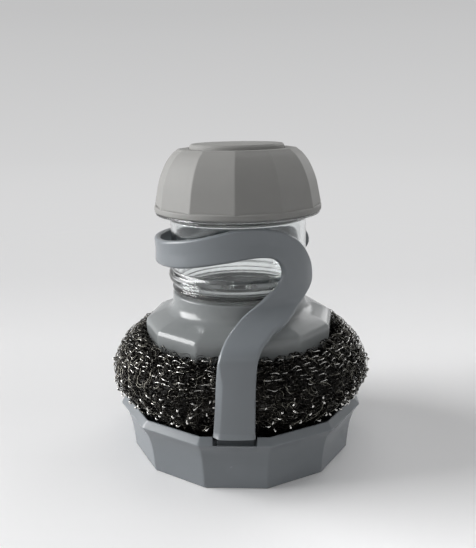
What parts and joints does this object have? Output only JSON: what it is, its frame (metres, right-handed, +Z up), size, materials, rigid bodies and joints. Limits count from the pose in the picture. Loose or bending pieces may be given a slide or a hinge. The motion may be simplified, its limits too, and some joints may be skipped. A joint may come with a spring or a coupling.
{
  "type": "pot brush with soap reservoir and drip tray",
  "caption": "Palm-grip scouring brush: wire ball under a faceted head, clear soap bottle, press-button cap, and a drip tray whose arm curls round the bottle as a collar.",
  "frame": {"origin": "middle of the drip tray's flat underside", "axes": "+Z up along the brush's own axis; -Y towards the side where the tray's arm stands, +X to the right of someone who faces that side"},
  "size_m": [0.0946, 0.094, 0.1128],
  "materials": {
    "grey_plastic": "satin moulded plastic, cool mid grey",
    "cap_plastic": "matte moulded plastic, warm grey",
    "clear_plastic": "clear moulded plastic",
    "inner_plastic": "plain white moulded plastic",
    "silicone": "soft translucent silicone",
    "wire_ball": "loosely packed knitted stainless ribbon",
    "screw_steel": "bright steel",
    "spring_steel": "bright spring wire"
  },
  "bodies": {
    "tray": {"base_tray": "grey_plastic"},
    "arm": {"holder_arm": "grey_plastic"},
    "head": {"brush_head": "grey_plastic", "ball_mount": "inner_plastic", "mount_screw_1": "screw_steel", "mount_screw_2": "screw_steel", "mount_screw_3": "screw_steel", "ball_retainer": "inner_plastic", "wire_ball": "wire_ball"},
    "head_seal": {"head_gasket": "silicone"},
    "bottle": {"reservoir": "clear_plastic", "slit_valve": "silicone", "valve_ring": "inner_plastic"},
    "cap_seal": {"cap_gasket": "silicone"},
    "cap": {"cap_shell": "cap_plastic", "cap_liner": "inner_plastic", "pump_cup": "inner_plastic", "air_valve": "silicone", "return_spring": "spring_steel"},
    "button": {"press_button": "cap_plastic", "piston_ring": "silicone"}
  },
  "joints": [
    {"name": "arm_lift", "type": "slide", "parent": "tray", "child": "arm", "axis": [0, 0, 1], "range_m": [0, 0.02]},
    {"name": "brush_lift", "type": "slide", "parent": "arm", "child": "head", "axis": [0, 0, 1], "range_m": [0, 0.004]},
    {"name": "bottle_rise", "type": "slide", "parent": "head", "child": "head_seal", "axis": [0, 0, 1], "range_m": [0, 0.005]},
    {"name": "bottle_turn", "type": "hinge", "parent": "head_seal", "child": "bottle", "pos_m": [0, 0, 0.057], "axis": [0, 0, 1], "range_deg": [0, 450]},
    {"name": "cap_rise", "type": "slide", "parent": "bottle", "child": "cap_seal", "axis": [0, 0, 1], "range_m": [0, 0.006]},
    {"name": "cap_turn", "type": "hinge", "parent": "cap_seal", "child": "cap", "pos_m": [0, 0, 0.095], "axis": [0, 0, 1], "range_deg": [0, 540]},
    {"name": "button_press", "type": "slide", "parent": "cap", "child": "button", "axis": [0, 0, -1], "range_m": [0, 0.004], "stiffness_N_per_m": 700, "springref_m": -0.003, "deforming": ["return_spring"]}
  ],
  "couplings": [
    {"joint": "bottle_rise", "follows": "bottle_turn", "m_per_rad": 0.00063662},
    {"joint": "cap_rise", "follows": "cap_turn", "m_per_rad": 0.00063662}
  ]
}
